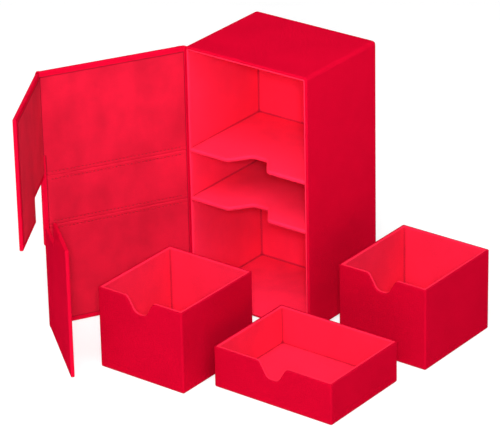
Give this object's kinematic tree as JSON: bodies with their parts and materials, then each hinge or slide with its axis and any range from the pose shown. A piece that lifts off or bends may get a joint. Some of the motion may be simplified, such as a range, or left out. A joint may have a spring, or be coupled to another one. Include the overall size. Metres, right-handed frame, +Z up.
{
  "type": "trading card storage box",
  "caption": "Upright card storage tower with lined bays, a book-style door with two side flaps, card trays and a dice tray with finger notches.",
  "frame": {"origin": "centre of the cabinet's underside, on the table", "axes": "+Z up, -Y towards the open front, +X to the right along the front"},
  "size_m": [0.2755, 0.2657, 0.208],
  "materials": {
    "leatherette": "matte",
    "lining": "matte",
    "board": "matte",
    "magnet": "satin",
    "thread": "matte"
  },
  "bodies": {
    "cabinet": {"cabinet_skin": "leatherette", "cabinet_base_sheet": "leatherette", "cabinet_left_board": "board", "cabinet_right_board": "board", "cabinet_back_board": "board", "cabinet_top_board": "board", "cabinet_bottom_board": "board", "upper_bay_lining": "lining", "middle_bay_lining": "lining", "lower_bay_lining": "lining", "upper_shelf_board": "board", "lower_shelf_board": "board", "upper_shelf_edging": "lining", "lower_shelf_edging": "lining", "closure_magnets": "magnet"},
    "door": {"door_skin": "leatherette", "door_upper_board": "board", "door_middle_board": "board", "door_lower_board": "board", "door_lining": "lining", "door_seam_threads": "thread", "spine_hinge": "leatherette"},
    "upper_flap": {"upper_flap_skin": "leatherette", "upper_flap_board": "board", "upper_flap_lining": "lining", "upper_flap_magnets": "magnet", "upper_flap_fold": "leatherette"},
    "lower_flap": {"lower_flap_skin": "leatherette", "lower_flap_board": "board", "lower_flap_lining": "lining", "lower_flap_magnets": "magnet", "lower_flap_fold": "leatherette"},
    "left_card_tray": {"left_card_tray_skin": "leatherette", "left_card_tray_base_sheet": "leatherette", "left_card_tray_lining": "lining", "left_card_tray_base_board": "board", "left_card_tray_front_board": "board", "left_card_tray_back_board": "board", "left_card_tray_left_board": "board", "left_card_tray_right_board": "board"},
    "dice_tray": {"dice_tray_skin": "leatherette", "dice_tray_base_sheet": "leatherette", "dice_tray_lining": "lining", "dice_tray_base_board": "board", "dice_tray_front_board": "board", "dice_tray_back_board": "board", "dice_tray_left_board": "board", "dice_tray_right_board": "board"},
    "right_card_tray": {"right_card_tray_skin": "leatherette", "right_card_tray_base_sheet": "leatherette", "right_card_tray_lining": "lining", "right_card_tray_base_board": "board", "right_card_tray_front_board": "board", "right_card_tray_back_board": "board", "right_card_tray_left_board": "board", "right_card_tray_right_board": "board"}
  },
  "joints": [
    {"name": "door_hinge", "type": "hinge", "parent": "cabinet", "child": "door", "pos_m": [-0.056, -0.0445, 0.104], "axis": [0, 0, -1], "range_deg": [-12, 100]},
    {"name": "upper_flap_hinge", "type": "hinge", "parent": "door", "child": "upper_flap", "pos_m": [-0.11549, -0.14355, 0.174], "axis": [0, 0, 1], "range_deg": [-58.9, 31.1]},
    {"name": "lower_flap_hinge", "type": "hinge", "parent": "door", "child": "lower_flap", "pos_m": [-0.11549, -0.14355, 0.034], "axis": [0, 0, 1], "range_deg": [-79.9, 10.1]},
    {"name": "left_card_tray_slide", "type": "slide", "parent": "cabinet", "child": "left_card_tray", "axis": [0, -1, 0], "range_m": [-0.035, 0.06]},
    {"name": "dice_tray_slide", "type": "slide", "parent": "cabinet", "child": "dice_tray", "axis": [0, -1, 0], "range_m": [-0.02, 0.06]},
    {"name": "right_card_tray_slide", "type": "slide", "parent": "cabinet", "child": "right_card_tray", "axis": [0, -1, 0], "range_m": [-0.06, 0.02]}
  ]
}
